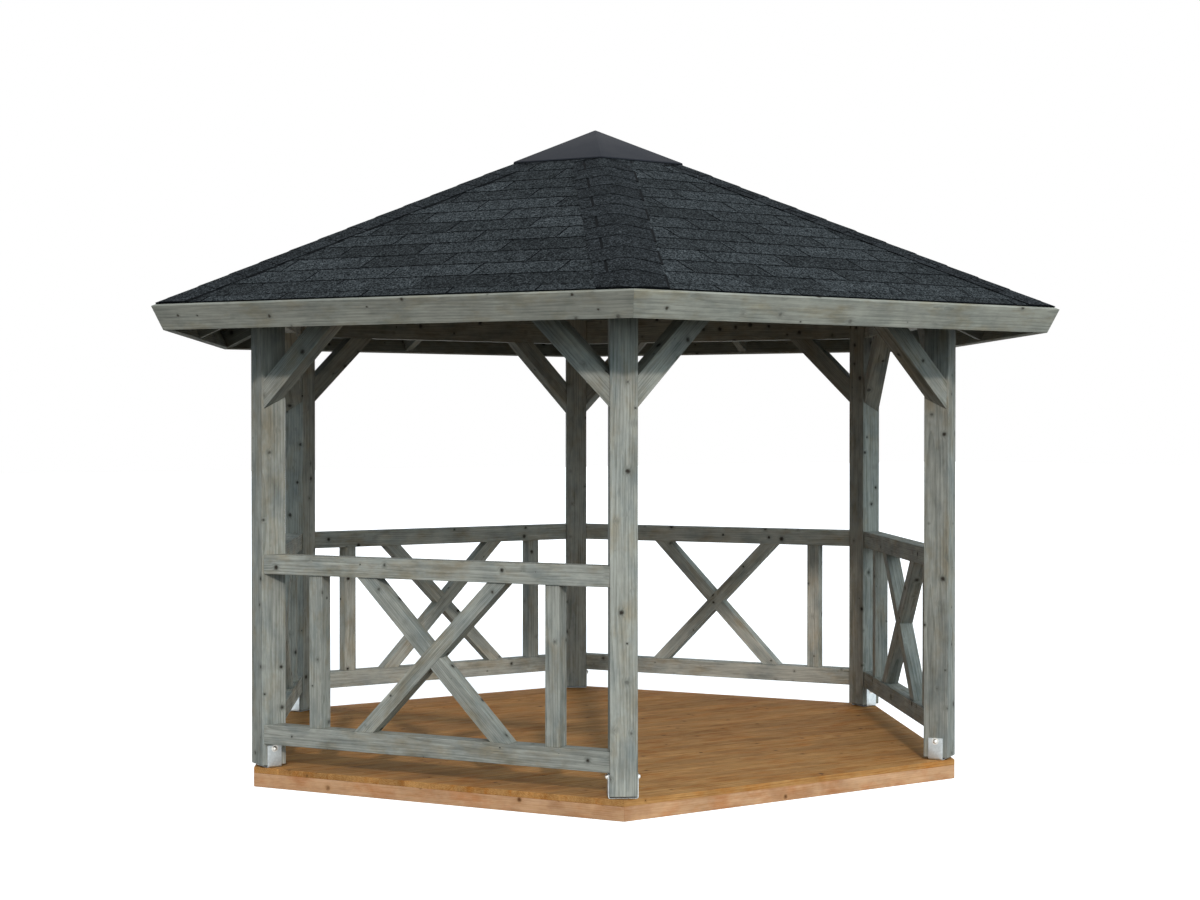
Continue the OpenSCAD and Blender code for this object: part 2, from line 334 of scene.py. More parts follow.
def mineral_felt(name, dark, light):
    """Bitumen shingles pressed with crushed slate. The stone is matt and glints in single grains,
    and each tab comes from a batch of its own shade. Grains of 1.5 mm are drawn 6 mm wide,
    so that the speckle shows."""
    material, tree, surface = finish_named(name, {"Specular IOR Level": 0.02, "Roughness": 0.95})
    at = node(tree, "TexCoord", output="Object")
    tone = node(tree, "Attribute", output="Fac", attribute_name="tone")
    grain = node(tree, "TexVoronoi", {"Vector": at, "Scale": 1 / (6 * MM)}, output="Color")
    blotch = node(tree, "TexNoise", {"Vector": at, "Scale": 1 / (70 * MM), "Detail": 4})
    fleck = node(tree, "Math", {0: grain, 1: 2}, operation="POWER")
    body = node(tree, "Mix", {SHARE: fleck, FROM: linear(dark), TO: linear(light)}, MIXED,
                data_type="RGBA")
    darkest, palest = BOARD_TONES
    shade = node(tree, "MapRange", {0: tone, 1: darkest, 2: palest, 3: 0.72, 4: 1.28})
    mottle = node(tree, "MapRange", {0: blotch, 1: 0.3, 2: 0.7, 3: 0.8, 4: 1.2})
    shade = node(tree, "Math", {0: shade, 1: mottle}, operation="MULTIPLY")
    body = node(tree, "VectorMath", {0: body, "Scale": shade}, operation="SCALE")
    tree.links.new(body, surface.inputs["Base Color"])
    relief = node(tree, "Bump", {"Height": grain, "Strength": 0.5, "Distance": 1.2 * MM})
    tree.links.new(relief, surface.inputs["Normal"])
    return material


def cut_bitumen_and_painted_shade():
    """The cut edge of a shingle: bare bitumen on glass felt, black and dull. The same black also
    covers the underlay and the hip strips that are laid as painted shade.
    """
    material, tree, surface = finish_named("bitumen_cut_edge_and_painted_shade", {"Specular IOR Level": 0.03})
    at = node(tree, "TexCoord", output="Object")
    crumb = node(tree, "TexNoise", {"Vector": at, "Scale": 1 / (6 * MM), "Detail": 3})
    black = node(tree, "Mix", {SHARE: crumb, FROM: linear("#08090a"), TO: linear("#16191c")}, MIXED,
                 data_type="RGBA")
    tree.links.new(black, surface.inputs["Base Color"])
    tree.links.new(node(tree, "MapRange", {0: crumb, 3: 0.65, 4: 0.9}), surface.inputs["Roughness"])
    return material


def coated_steel():
    """Sheet steel with a dark matt polyester coat, folded to shape. The coat has a soft sheen, a
    fine orange peel and a thin film of dust."""
    material, tree, surface = finish_named("coated_sheet_steel", {"Specular IOR Level": 0.04})
    at = node(tree, "TexCoord", output="Object")
    dust = node(tree, "TexNoise", {"Vector": at, "Scale": 1 / (120 * MM), "Detail": 5})
    coat = node(tree, "Mix", {SHARE: dust, FROM: linear("#282a2f"), TO: linear("#2d2f35")}, MIXED,
                data_type="RGBA")
    tree.links.new(coat, surface.inputs["Base Color"])
    tree.links.new(node(tree, "MapRange", {0: dust, 3: 0.42, 4: 0.6}), surface.inputs["Roughness"])
    peel = node(tree, "TexNoise", {"Vector": at, "Scale": 1 / (2.5 * MM), "Detail": 1})
    relief = node(tree, "Bump", {"Height": peel, "Strength": 0.15, "Distance": 0.2 * MM})
    tree.links.new(relief, surface.inputs["Normal"])
    return material


def galvanised(name, spangle, dark, light, rough):
    """Steel dipped in zinc. The zinc sets in crystals, the spangle, that each catch the light a
    little differently, and dulls with the weather."""
    material, tree, surface = finish_named(name, {"Metallic": 1.0})
    at = node(tree, "TexCoord", output="Object")
    crystal = node(tree, "TexVoronoi", {"Vector": at, "Scale": 1 / spangle}, output="Color")
    bloom = node(tree, "TexNoise", {"Vector": at, "Scale": 1 / (35 * MM), "Detail": 4})
    face = node(tree, "Math", {0: crystal, 1: 0.45, 2: bloom}, operation="MULTIPLY_ADD")
    face = node(tree, "MapRange", {0: face, 1: 0.35, 2: 1.05})
    zinc = node(tree, "Mix", {SHARE: face, FROM: linear(dark), TO: linear(light)}, MIXED,
                data_type="RGBA")
    tree.links.new(zinc, surface.inputs["Base Color"])
    tree.links.new(node(tree, "MapRange", {0: face, 3: rough + 0.12, 4: rough}),
                   surface.inputs["Roughness"])
    relief = node(tree, "Bump", {"Height": bloom, "Strength": 0.2, "Distance": 0.5 * MM})
    tree.links.new(relief, surface.inputs["Normal"])
    return material


FRAME_PINE = pine("weathered_pine_frame", "#aeaea5", "#7a7b73", "#d9e0e6", "#eee3d4", "#35302a")
RAIL_PINE = pine("weathered_pine_railing", "#b0b0a7", "#7b7c74", "#d8e0e6", "#f0e3d2", "#35302a")
FASCIA_PINE = pine("weathered_pine_fascia", "#aaa99d", "#82827a", "#e2e6e8", "#eee5d6", "#433e35",
                   ring=12 * MM, knotty=0.45)
# The roof boards are drawn much darker than the frame's pine: painted shade that deepens the soffit
# under the roof
ROOF_PINE_WITH_PAINTED_SHADE = pine("pine_roof_boards", "#6c6e60", "#51534a", "#d8ddde", "#e6dac4", "#2d2a23")
DECK_PINE = pine("oiled_pine_deck", "#c6975e", "#9c6b3a", "#e8e0d8", "#f6dab0", "#5a3e22",
                 knotty=0.35)
EDGE_PINE = pine("oiled_pine_edge", "#d2a884", "#c09064", "#e2d6cc", "#f2d4b8", "#6a4429",
                 knotty=0.35, uneven=0.15)
SHINGLE = mineral_felt("slate_granule_shingle", "#0f1214", "#5b5f61")
HIP_SHINGLE = mineral_felt("slate_granule_hip_shingle", "#0d1011", "#4e5154")
CUT_EDGE_AND_PAINTED_SHADE = cut_bitumen_and_painted_shade()
CAP_STEEL = coated_steel()
SHOE_ZINC = galvanised("hot_dip_galvanised_steel", 9 * MM, "#b3b9bb", "#cad0d1", 0.42)
BOLT_ZINC = galvanised("zinc_plated_bolt", 4 * MM, "#cbcac5", "#e8e6e0", 0.4)

# ---------------------------------------------------------------- making pieces


class Piece:
    """A mesh gathered board by board. Each board brings its own stretch of a log and its shade."""

    def __init__(self):
        self.points, self.faces, self.finishes, self.grain, self.tone = [], [], [], [], []

    def add(self, board, along, tone=None, finish_of=None):
        """Adds a bmesh. along is the way its grain runs, and finish_of(face) picks a finish."""
        along = along.normalized()
        across = along.cross(UP) if abs(along.z) < 0.9 else along.cross(Vector((0, 1, 0)))
        across.normalize()
        through = along.cross(across)
        # Where in a log it was sawn: along it, beside the pith and above it
        log = (rng.uniform(0, 40), rng.uniform(-50, 50) * MM, rng.uniform(25, 110) * MM)
        lean = rng.uniform(-0.012, 0.012)
        shade = rng.uniform(*BOARD_TONES) if tone is None else tone
        board.verts.index_update()
        middle = sum((v.co for v in board.verts), Vector()) / len(board.verts)
        first = len(self.points)
        for vert in board.verts:
            away = vert.co - middle
            length = away.dot(along)
            self.points.append(vert.co[:])
            self.grain += (length + log[0], away.dot(across) + log[1] + lean * length,
                           away.dot(through) + log[2])
            self.tone.append(shade)
        for face in board.faces:
            self.faces.append([first + vert.index for vert in face.verts])
            self.finishes.append(finish_of(face) if finish_of else 0)
        board.free()

    def place(self, name, finishes, slot, *nodes, smooth_under=None):
        """Makes the object, sets it on the frame and has it stand for the CAD nodes."""
        mesh = bpy.data.meshes.new(name)
        mesh.from_pydata(self.points, [], self.faces)
        for finish in finishes:
            mesh.materials.append(finish)
        mesh.polygons.foreach_set("material_index", self.finishes)
        grain = mesh.attributes.new("grain", "FLOAT_VECTOR", "POINT")
        grain.data.foreach_set("vector", self.grain)
        tone = mesh.attributes.new("tone", "FLOAT", "POINT")
        tone.data.foreach_set("value", self.tone)
        if smooth_under:
            mesh.shade_smooth()
            mesh.set_sharp_from_angle(angle=math.radians(smooth_under))
        mesh.update()
        piece = bpy.data.objects.new(name, mesh)
        bpy.context.scene.collection.objects.link(piece)
        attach(piece, "root")
        if nodes:
            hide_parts(*nodes)
        return piece


def solid_between(outline, other):
    """A closed solid between two outlines of as many points."""
    made = bmesh.new()
    near = [made.verts.new(point) for point in outline]
    far = [made.verts.new(point) for point in other]
    made.faces.new(near[::-1])
    made.faces.new(far)
    count = len(near)
    for k in range(count):
        made.faces.new((near[k], near[(k + 1) % count], far[(k + 1) % count], far[k]))
    bmesh.ops.recalc_face_normals(made, faces=made.faces)
    return made


def beam(start, end, across, width, depth):
    """A square-edged length of timber from start to end, width wide along across."""
    along = (end - start).normalized()
    wide = across.normalized() * width / 2
    deep = along.cross(across).normalized() * depth / 2
    return solid_between(*([point + i * wide + j * deep
                            for i, j in ((-1, -1), (1, -1), (1, 1), (-1, 1))]
                           for point in (start, end)))


def saw(board, point, normal):
    """Cuts off what lies beyond the plane and closes the cut."""
    shape = board.verts[:] + board.edges[:] + board.faces[:]
    cut = bmesh.ops.bisect_plane(board, geom=shape, dist=1e-6, plane_co=point, plane_no=normal,
                                 clear_outer=True)
    rim = [e for e in cut["geom_cut"] if isinstance(e, bmesh.types.BMEdge)]
    if rim:
        bmesh.ops.edgeloop_fill(board, edges=rim)


def ease(board, size=EASE, steps=2):
    """Takes the sharpness off a board's edges."""
    bmesh.ops.bevel(board, geom=board.edges[:], offset=size, segments=steps, affect="EDGES",
                    profile=0.5, clamp_overlap=True)
    return board


def prism(outline, across, thick):
    """A flat outline of points, thickened along across on both sides."""
    half = across.normalized() * thick / 2
    return solid_between([point - half for point in outline], [point + half for point in outline])


def solids_of(name):
    """The solids of a node of the frame, copied, each with its flat faces whole again."""
    whole = bmesh.new()
    whole.from_mesh(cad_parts[name].data)
    bmesh.ops.remove_doubles(whole, verts=whole.verts, dist=WELD)
    bmesh.ops.dissolve_limit(whole, angle_limit=math.radians(FLAT_WITHIN), verts=whole.verts,
                             edges=whole.edges)
    seen, solids = set(), []
    for first in whole.verts:
        if first in seen:
            continue
        group, todo = {first}, [first]
        while todo:
            for edge in todo.pop().link_edges:
                for vert in edge.verts:
                    if vert not in group:
                        group.add(vert)
                        todo.append(vert)
        seen |= group
        solid = bmesh.new()
        copies = {vert: solid.verts.new(vert.co) for vert in whole.verts if vert in group}
        for face in whole.faces:
            if face.verts[0] in group:
                solid.faces.new([copies[vert] for vert in face.verts])
        solids.append(solid)
    whole.free()
    return solids


def longest_edge(board):
    """The way the longest edge runs."""
    edge = max(board.edges, key=lambda e: round(e.calc_length(), 4))
    return edge.verts[1].co - edge.verts[0].co


def axes_at(angle):
    """The level way out from the middle at an angle, and the level way across it."""
    out = Vector((math.cos(angle), math.sin(angle), 0))
    return out, Vector((-out.y, out.x, 0))


def bay_axes(i):
    """The way bay i looks out, and the way along it."""
    return axes_at(HALF_TURN + TURN * i)


def corner_axes(i):
    """The way out to corner i, and the way across it."""
    return axes_at(TURN * i)


def saw_ends(board, i, tip):
    """Cuts a board of bay i on both sides, along planes that meet tip metres from the middle."""
    out, side = bay_axes(i)
    for hand in (-1, 1):
        saw(board, out * tip, hand * side * math.cos(HALF_TURN) - out * math.sin(HALF_TURN))


# ---------------------------------------------------------------- floor


def deck_boards():
    """Boards along X, tongued together, over the joists and the edge boards."""
    deck = Piece()
    middle = (DECK_LOW + DECK_TOP) / 2
    for k in range(DECK_BOARDS):
        y = -FLOOR_FLAT + (k + 0.5) * DECK_PITCH
        board = beam(Vector((-FLOOR_RADIUS, y, middle)), Vector((FLOOR_RADIUS, y, middle)),
                     Vector((0, 1, 0)), DECK_PITCH - DECK_JOINT, DECK_TOP - DECK_LOW)
        for i in range(BAYS):
            saw(board, bay_axes(i)[0] * FLOOR_FLAT, bay_axes(i)[0])
        deck.add(ease(board, DECK_EASE, 1), Vector((1, 0, 0)))
    deck.place("deck_boards", [DECK_PINE], "deck_boards", "floor_deck")


def edge_boards():
    """Six boards on edge round the floor, mitred at the corners."""
    edge = Piece()
    for i in range(BAYS):
        out, side = bay_axes(i)
        line = out * (FLOOR_FLAT - EDGE_THICK / 2) + UP * DECK_LOW / 2
        board = beam(line - side * FLOOR_RADIUS, line + side * FLOOR_RADIUS, out, EDGE_THICK,
                     DECK_LOW)
        saw_ends(board, i, 0)
        edge.add(ease(board), side)
    edge.place("floor_edge_boards", [EDGE_PINE], "floor_frame", "floor_edge")


def floor_joists():
    """Joists across the floor, along Y."""
    joists = Piece()
    for joist in solids_of("floor_joists"):
        joists.add(ease(joist), Vector((0, 1, 0)))
    joists.place("floor_joist_beams", [EDGE_PINE], "floor_frame", "floor_joists")


# ---------------------------------------------------------------- posts and shoes


def strap_outline(out, across):
    """The bent strip of a shoe, seen from the end: up one leg, under the post, up the other."""
    inner, outer = POST_SIZE / 2, POST_SIZE / 2 + SHOE_STEEL
    top, under, foot = shoe_high.z, DECK_TOP, DECK_TOP + SHOE_STEEL
    bend = []
    for hand, angles in ((-1, (180, 210, 240, 270)), (1, (270, 300, 330, 360))):
        for angle in angles:
            turn = math.radians(angle)
            reach = SHOE_BEND + SHOE_STEEL
            bend.append((hand * (outer - reach) + reach * math.cos(turn),
                         under + reach + reach * math.sin(turn)))
    outline = [(-outer, top), *bend, (outer, top), (inner, top), (inner, foot), (-inner, foot),
               (-inner, top)]
    return [out * POST_RING + across * x + UP * z for x, z in outline]


def turned(profile, base, axis, sides=20):
    """A turned part: a profile of (radius, height) points spun round an axis from base."""
    axis = axis.normalized()
    first = axis.cross(UP).normalized() if abs(axis.z) < 0.9 else Vector((1, 0, 0))
    second = axis.cross(first)
    made = bmesh.new()
    rings = []
    for radius, height in profile:
        if radius == 0:
            rings.append([made.verts.new(base + axis * height)] * sides)
            continue
        rings.append([made.verts.new(base + axis * height + radius * (
            first * math.cos(math.tau * k / sides) + second * math.sin(math.tau * k / sides)))
            for k in range(sides)])
    for low, high in zip(rings, rings[1:]):
        for k in range(sides):
            loop = [low[k], low[(k + 1) % sides], high[(k + 1) % sides], high[k]]
            made.faces.new(list(dict.fromkeys(loop)))
    bmesh.ops.recalc_face_normals(made, faces=made.faces)
    return made


def coach_bolt(foot, axis):
    """A washer and the domed head of a coach bolt."""
    profile = [(0, 0), (WASHER, 0), (WASHER, WASHER_THICK), (BOLT_HEAD, WASHER_THICK),
               (BOLT_HEAD, DOME_START)]
    for angle in (20, 40, 60, 78):
        turn = math.radians(angle)
        profile.append((BOLT_HEAD * math.cos(turn), DOME_START + DOME * math.sin(turn)))
    profile.append((0, DOME_START + DOME))
    return turned(profile, foot, axis)


def posts():
    """Six square posts."""
    for i, name in enumerate(POST_NAMES):
        out = corner_axes(i)[0]
        post = Piece()
        board = beam(out * POST_RING + UP * POST_FOOT, out * POST_RING + UP * post_high.z, out,
                     POST_SIZE, POST_SIZE)
        post.add(ease(board, POST_EASE), UP, tone=POST_TONES_AND_PAINTED_FILL[i])
        post.place(f"timber_post_{name}", [FRAME_PINE], "frame_timber", f"post_{name}")


def post_shoes():
    """A galvanised strap under each post, with the heads of coach bolts on its two legs."""
    straps, bolts = Piece(), Piece()
    for i in range(BAYS):
        out, across = corner_axes(i)
        strap = prism(strap_outline(out, across), out, SHOE_WIDTH)
        straps.add(ease(strap, STEEL_EASE, 1), UP)
        for hand in (-1, 1):
            foot = out * POST_RING + hand * across * (POST_SIZE / 2 + SHOE_STEEL) + UP * BOLT_HEIGHT
            bolts.add(coach_bolt(foot, hand * across), UP)
    straps.place("shoe_straps", [SHOE_ZINC], "galvanised_steel", "post_shoes",
                 smooth_under=SMOOTH_UNDER)
    bolts.place("shoe_bolts", [BOLT_ZINC], "galvanised_steel", smooth_under=SMOOTH_UNDER)


# ---------------------------------------------------------------- railings


def cross_bar(i, hand):
    """One bar of a cross, half-lapped where the other passes. hand says which way it leans. The
    bar that rises to the left of a person outside is notched on its outer half."""
    out, side = bay_axes(i)
    height = PANEL_HIGH - PANEL_LOW
    run = CROSS_LOW_REACH + CROSS_TOP_REACH
    lean = math.atan2(height, run) + math.asin(BAR_SIZE / math.hypot(run, height))
    foot = BAR_SIZE / math.sin(lean)
    meeting = PANEL_LOW + height * (CROSS_LOW_REACH - foot / 2) / (run - foot)
    along = hand * side * math.cos(lean) + UP * math.sin(lean)
    across = -hand * side * math.sin(lean) + UP * math.cos(lean)
    middle = out * FRAME_LINE + UP * meeting
    half, length = BAR_SIZE / 2, height
    # The other bar's edges, where they cross this one's: on its two sides they lie skewed
    crossing = math.pi - 2 * lean
    face = -hand * half
    sides = []
    for edge in (-half, half):
        shift = edge / math.tan(crossing)
        start, end = shift - half / math.sin(crossing), shift + half / math.sin(crossing)
        points = [(-length, face), (start, face), (start, 0), (end, 0), (end, face), (length, face),
                  (length, -face), (-length, -face)]
        sides.append([middle + along * a + across * edge + out * n for a, n in points])
    made = solid_between(*sides)
    saw(made, UP * PANEL_HIGH, UP)
    saw(made, UP * PANEL_LOW, -UP)
    return ease(made, CROSS_EASE, 1), along


def railing(i):
    """Two rails between the posts, two uprights and a half-lapped cross."""
    out, side = bay_axes(i)
    made = Piece()

    # A bar's tone is its railing's set tone, which on the back railings holds painted fill light,
    # varied a little at random
    def shade():
        return RAIL_TONES_AND_PAINTED_FILL[i] + rng.uniform(-RAIL_DARKER, RAIL_PALER)

    for z in (rail_low.z + RAIL_SIZE / 2, rail_high.z - RAIL_SIZE / 2):
        line = out * FRAME_LINE + UP * z
        rail = beam(line - side * POST_RING, line + side * POST_RING, out, RAIL_SIZE, RAIL_SIZE)
        saw_ends(rail, i, WEDGE_POINT)
        made.add(ease(rail), side, tone=shade())
    for place in (-UPRIGHT_PLACE, UPRIGHT_PLACE):
        line = out * FRAME_LINE + side * place
        upright = beam(line + UP * PANEL_LOW, line + UP * PANEL_HIGH, out, BAR_SIZE, BAR_SIZE)
        made.add(ease(upright), UP, tone=shade())
    for hand in (-1, 1):
        bar, along = cross_bar(i, hand)
        made.add(bar, along, tone=shade())
    name = BAY_NAMES[i]
    made.place(f"railing_timber_{name}", [RAIL_PINE], "railing_timber", f"railing_{name}")


# ---------------------------------------------------------------- roof frame


def from_frame(name, piece_name, finish, slot, tone=None):
    """Timber whose shape is the CAD solid's own, with its edges eased and its grain lengthwise."""
    made = Piece()
    for solid in solids_of(name):
        along = longest_edge(solid)
        made.add(ease(solid), along, tone=tone)
    return made.place(piece_name, [finish], slot, name)


def roof_frame():
    """Wall plates, knee braces, hub and rafters."""
    for name in BAY_NAMES:
        from_frame(f"wall_plate_{name}", f"plate_beam_{name}", FRAME_PINE, "frame_timber")
        from_frame(f"braces_{name}", f"knee_braces_{name}", FRAME_PINE, "frame_timber")
    from_frame("roof_hub", "hub_block", FRAME_PINE, "frame_timber")
    from_frame("hip_rafters", "hip_rafter_beams", FRAME_PINE, "frame_timber")
    from_frame("common_rafters", "common_rafter_beams", FRAME_PINE, "frame_timber")


# ---------------------------------------------------------------- roof cover


def on_roof(i, down, aside, high):
    """A point over bay i: metres down its slope from the middle, aside along the eave and high
    above the roof boards."""
    out, side = bay_axes(i)
    reach = down * SLOPE_IN + high * SLOPE_DOWN
    return out * reach + side * aside + UP * (BOARD_APEX - down * SLOPE_DOWN + high * SLOPE_IN)


def roof_boards(i):
    """Tongued boards along the eave, mitred over the hips. Their joints show from below."""
    side = bay_axes(i)[1]
    made = Piece()
    count = math.ceil(EAVE_SLOPE / BOARD_PITCH)
    pitch = EAVE_SLOPE / count
    slope = on_roof(i, 1, 0, 0) - on_roof(i, 0, 0, 0)
    for k in range(count):
        line = on_roof(i, (k + 0.5) * pitch, 0, -BOARD_THICK / 2)
        board = beam(line - side * FLOOR_RADIUS, line + side * FLOOR_RADIUS, slope,
                     pitch - BOARD_JOINT, BOARD_THICK)
        saw_ends(board, i, 0)
        made.add(ease(board, BOARD_EASE, 1), side)
    name = BAY_NAMES[i]
    made.place(f"roof_planks_{name}", [ROOF_PINE_WITH_PAINTED_SHADE], "roof_boards", f"roof_boards_{name}")


def clip(points, inside):
    """The part of a convex outline where inside(point) is not negative."""
    kept = []
    for k, here in enumerate(points):
        there = points[(k + 1) % len(points)]
        a, b = inside(here), inside(there)
        if a >= 0:
            kept.append(here)
        if (a < 0) != (b < 0):
            share = a / (a - b)
            kept.append(tuple(p + share * (q - p) for p, q in zip(here, there)))
    return kept


def sheet(i, outline, top, bottom):
    """A thin solid over bay i. outline is of (down, aside) points, and top and bottom give heights
    above the boards at a point."""
    return solid_between([on_roof(i, *point, top(*point)) for point in outline],
                         [on_roof(i, *point, bottom(*point)) for point in outline])


# Finishes of a shingle piece, in order
# BITUMEN is black: the cut edges of shingles, and the felt laid as painted shade in joints and
# slots
GRANULES, BITUMEN = 0, 1


def granules_on_top(face):
    """Granules cover the faces of a shingle, and its cut edges are bare bitumen."""
    return GRANULES if abs(face.normal.z) > 0.6 else BITUMEN


def painted_shade_felt(_):
    """Felt without granules, all black: painted shade where it shows in the joints and the hip
    slots.
    """
    return BITUMEN


def shingles(i):
    """Courses of square-cut tabs in half bond on black underlay felt. Where it shows in the joints,
    its black is painted shade, standing in for the shade that fills them.
    The joints start from the same corner in each pair of bays, so they mirror each other
    over it."""
    side = bay_axes(i)[1]
    hand = 1 if i % 2 else -1
    made = Piece()
    corner, inner = EAVE_SLOPE * HIP_SPREAD, BARE_SLOPE * HIP_SPREAD
    felt = [(EAVE_SLOPE, -corner), (EAVE_SLOPE, corner), (BARE_SLOPE, inner), (BARE_SLOPE, -inner)]
    # The black felt under the tabs shows in their joints as painted shade
    made.add(sheet(i, felt, lambda *_: UNDERLAY, lambda *_: 0), side, finish_of=painted_shade_felt)
    rise = (SHINGLE_TOP - SHINGLE_TAIL) / COURSE
    row, butt = 0, EAVE_SLOPE
    while butt > BARE_SLOPE:

        def top(down, _, low=butt):
            return SHINGLE_TOP - rise * (low - down)

        def bottom(down, _, low=butt):
            return max(0, SHINGLE_TOP - SHINGLE_BUTT - SHINGLE_TAIL / COURSE * (low - down))

        head = butt - COURSE_LAP * COURSE
        start = TAB_START + (0.5 * TAB if row % 2 else 0)
        shift = start - math.ceil(start / TAB) * TAB
        for k in range(math.ceil(2 * corner / TAB) + 2):
            near = corner - shift - k * TAB
            far = near - TAB + TAB_JOINT
            jog = rng.uniform(-TAB_JOG, TAB_JOG)
            outline = [(butt + jog, near), (butt + jog, far), (head, far), (head, near)]
            outline = [(min(d, EAVE_SLOPE), hand * a) for d, a in outline]
            outline = clip(outline, lambda p: p[0] * HIP_SPREAD - p[1])
            outline = clip(outline, lambda p: p[0] * HIP_SPREAD + p[1])
            if len(outline) >= 3:
                made.add(sheet(i, outline, top, bottom), side, finish_of=granules_on_top)
        butt = butt - (FIRST_COURSE if row == 0 else COURSE)
        row += 1
    name = BAY_NAMES[i]
    made.place(f"shingles_{name}", [SHINGLE, CUT_EDGE_AND_PAINTED_SHADE], "bitumen_shingles", "roof_shingles")


def hip_shingles(i):
    """Pieces bent over the hip at corner i. Every other one is slotted on its left, seen from
    outside. Strips of black bitumen lie sunk in the slots and along the right edges of the others:
    painted shade, standing in for the shadow there.
    Under the cap they are pressed flat."""
    made = Piece()
    out = corner_axes(i)[0]
    pitch = COURSE * HIP_STRETCH
    press_end = CAP_RADIUS / SLOPE_IN * HIP_STRETCH * math.cos(HALF_TURN)
    bay_of = {-1: (i, -1), 1: ((i - 1) % BAYS, 1)}

    def point(along, off, high):
        """along the hip, off to either side of it, rounded over the ridge."""
        bay, hand = bay_of[-1 if off < 0 else 1]
        off = abs(off)
        along = min(along, EAVE_SLOPE * HIP_STRETCH - off * HIP_SPREAD)
        if off < HIP_ROUND:
            high -= (HIP_ROUND - off) ** 2 / (4 * HIP_ROUND) * HIP_BEND
        down = (along + off * HIP_SPREAD) / HIP_STRETCH
        aside = hand * (along * HIP_SPREAD - off) / HIP_STRETCH
        return on_roof(bay, down, aside, high)

    low, row = EAVE_SLOPE * HIP_STRETCH, 0
    while low > press_end - pitch:
        tone = rng.uniform(*HIP_TONES)
        strips = [(-HIP_REACH, HIP_REACH)]
        if row and row % 2 == 0:
            strips = [(-HIP_REACH, HIP_SLOT_PLACE - HIP_SLOT / 2),
                      (HIP_SLOT_PLACE + HIP_SLOT / 2, HIP_REACH)]
        for start, end in strips:
            folds = [off for off in HIP_FOLDS if start < off < end]
            offsets = [start, *folds, end]
            made.add(hip_piece(point, low, pitch, offsets, press_end), out, tone=tone,
                     finish_of=granules_on_top)
        # A sunk black strip in the slot, or beside the right edge: painted shade
        bare = (-HIP_REACH - HIP_SLOT, -HIP_REACH)
        if len(strips) > 1:
            bare = (strips[0][1], strips[1][0])
        made.add(hip_piece(point, low, pitch, bare, press_end, HIP_SLOT_DEPTH), out,
                 finish_of=painted_shade_felt)
        low -= pitch * FIRST_COURSE / COURSE if row == 0 else pitch
        row += 1
    made.place(f"hip_shingles_{POST_NAMES[i]}", [HIP_SHINGLE, CUT_EDGE_AND_PAINTED_SHADE], "bitumen_shingles",
               "roof_shingles")


def hip_piece(point, low, pitch, offsets, press_end, sunk=0):
    """One bent piece: its lower edge lies on the piece below, its upper one under the piece above.
    point gives its places, low is how far along the hip it starts, and sunk lowers it."""
    made = bmesh.new()
    rows = []
    for share in (0, 0.5, 1, HIP_LAP):
        along = low - share * pitch
        press = min(1, max(0, (along - press_end) / HIP_PRESS_LENGTH))
        top = HIP_TOP - HIP_FALL * share - sunk
        bottom = max(HIP_BOTTOM - HIP_FALL * share, SHINGLE_TOP - HIP_BITE) - sunk
        face = HIP_PRESSED + (top - HIP_PRESSED) * press
        back = HIP_PRESSED - HIP_PRESSED_THICK + (bottom - HIP_PRESSED) * press
        over = [made.verts.new(point(along, off, face)) for off in offsets]
        under = [made.verts.new(point(along, off, back)) for off in offsets]
        rows.append((over, under))
    for (over, under), (over_next, under_next) in zip(rows, rows[1:]):
        for k in range(len(offsets) - 1):
            made.faces.new((over[k], over[k + 1], over_next[k + 1], over_next[k]))
            made.faces.new((under[k], under_next[k], under_next[k + 1], under[k + 1]))
        for k in (0, -1):
            made.faces.new((over[k], over_next[k], under_next[k], under[k]))
    for over, under in (rows[0], rows[-1]):
        for k in range(len(offsets) - 1):
            made.faces.new((over[k], under[k], under[k + 1], over[k + 1]))
    bmesh.ops.recalc_face_normals(made, faces=made.faces)
    return made


def roof_cap():
    """A six-sided cap folded from one sheet, with a rim that stands on the shingles."""
    rim_top = cap_high.z - CAP_RADIUS * math.cos(HALF_TURN) * math.tan(ROOF_PITCH)
    made = bmesh.new()
    tip = made.verts.new((0, 0, cap_high.z))
    rings = [[made.verts.new(corner_axes(i)[0] * CAP_RADIUS + UP * z) for i in range(BAYS)]
             for z in (rim_top, cap_low.z)]
    for i in range(BAYS):
        j = (i + 1) % BAYS
        made.faces.new((tip, rings[0][i], rings[0][j]))
        made.faces.new((rings[0][i], rings[1][i], rings[1][j], rings[0][j]))
    folds = [e for e in made.edges if len(e.link_faces) == 2]
    bmesh.ops.bevel(made, geom=folds, offset=CAP_FOLD, segments=3, affect="EDGES", profile=0.5,
                    clamp_overlap=True)
    bmesh.ops.recalc_face_normals(made, faces=made.faces)
    cap = Piece()
    cap.add(made, UP)
    piece = cap.place("sheet_cap", [CAP_STEEL], "cap_metal", "roof_cap",
                      smooth_under=SMOOTH_UNDER)
    sheet_metal = piece.modifiers.new("sheet", "SOLIDIFY")
    sheet_metal.thickness = CAP_SHEET
    sheet_metal.offset = -1


deck_boards()
edge_boards()
floor_joists()
posts()
post_shoes()
for bay in range(BAYS):
    if bay != OPEN_BAY:
        railing(bay)
roof_frame()
for bay in range(BAYS):
    roof_boards(bay)
    from_frame(f"fascia_{BAY_NAMES[bay]}", f"fascia_board_{BAY_NAMES[bay]}", FASCIA_PINE,
               "fascia_timber", FASCIA_TONES[bay])
    shingles(bay)
    hip_shingles(bay)
roof_cap()

# ---------------------------------------------------------------- stage

